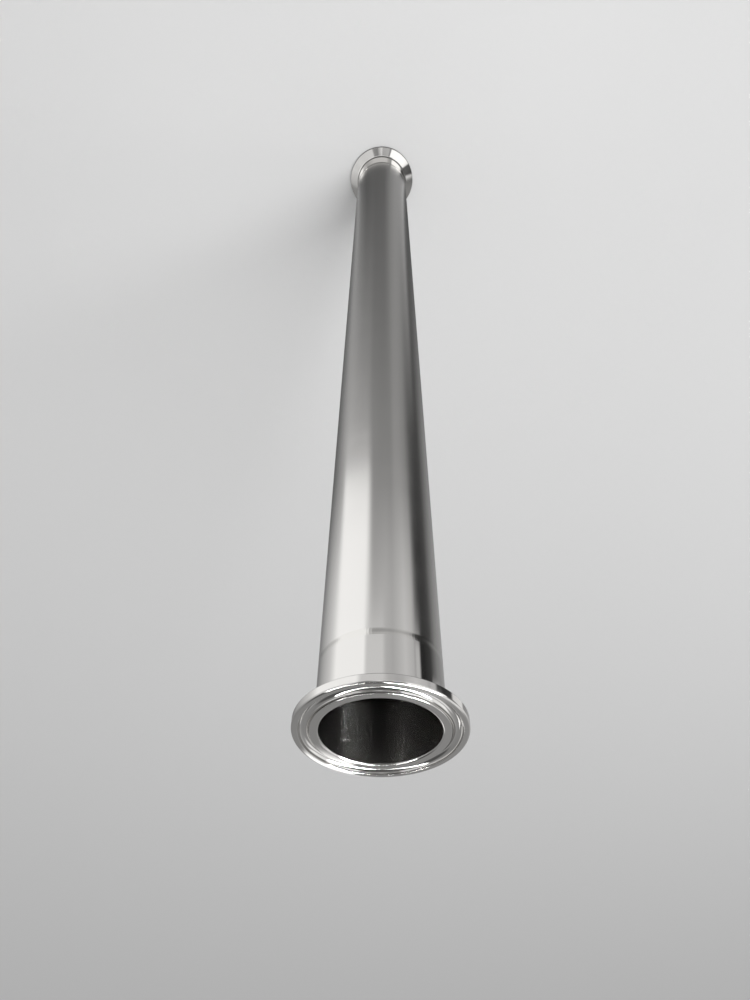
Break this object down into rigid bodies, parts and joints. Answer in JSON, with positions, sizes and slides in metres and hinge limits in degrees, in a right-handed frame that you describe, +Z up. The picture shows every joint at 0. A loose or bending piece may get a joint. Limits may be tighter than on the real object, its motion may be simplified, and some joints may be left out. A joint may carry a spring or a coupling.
{
  "type": "sanitary spool pipe",
  "caption": "Straight polished stainless tube with a welded clamp ferrule at each end, joining hygienic process fittings with clamps and gaskets.",
  "frame": {"origin": "centre of the lower sealing face, on the bore axis", "axes": "+Z up along the bore axis from the lower ferrule to the upper one; X and Y are any two directions square to it"},
  "size_m": [0.0506, 0.0504, 0.5],
  "materials": {
    "tube_steel": "belt-polished to a soft shine, with fine marks round the tube",
    "ferrule_steel": "turned and mirror-polished, with faint turning lines",
    "weld_steel": "fused flush weld, slightly duller than the metal beside it"
  },
  "bodies": {
    "root": {"tube": "tube_steel", "lower_ferrule": "ferrule_steel", "upper_ferrule": "ferrule_steel", "lower_weld": "weld_steel", "upper_weld": "weld_steel"}
  },
  "joints": []
}
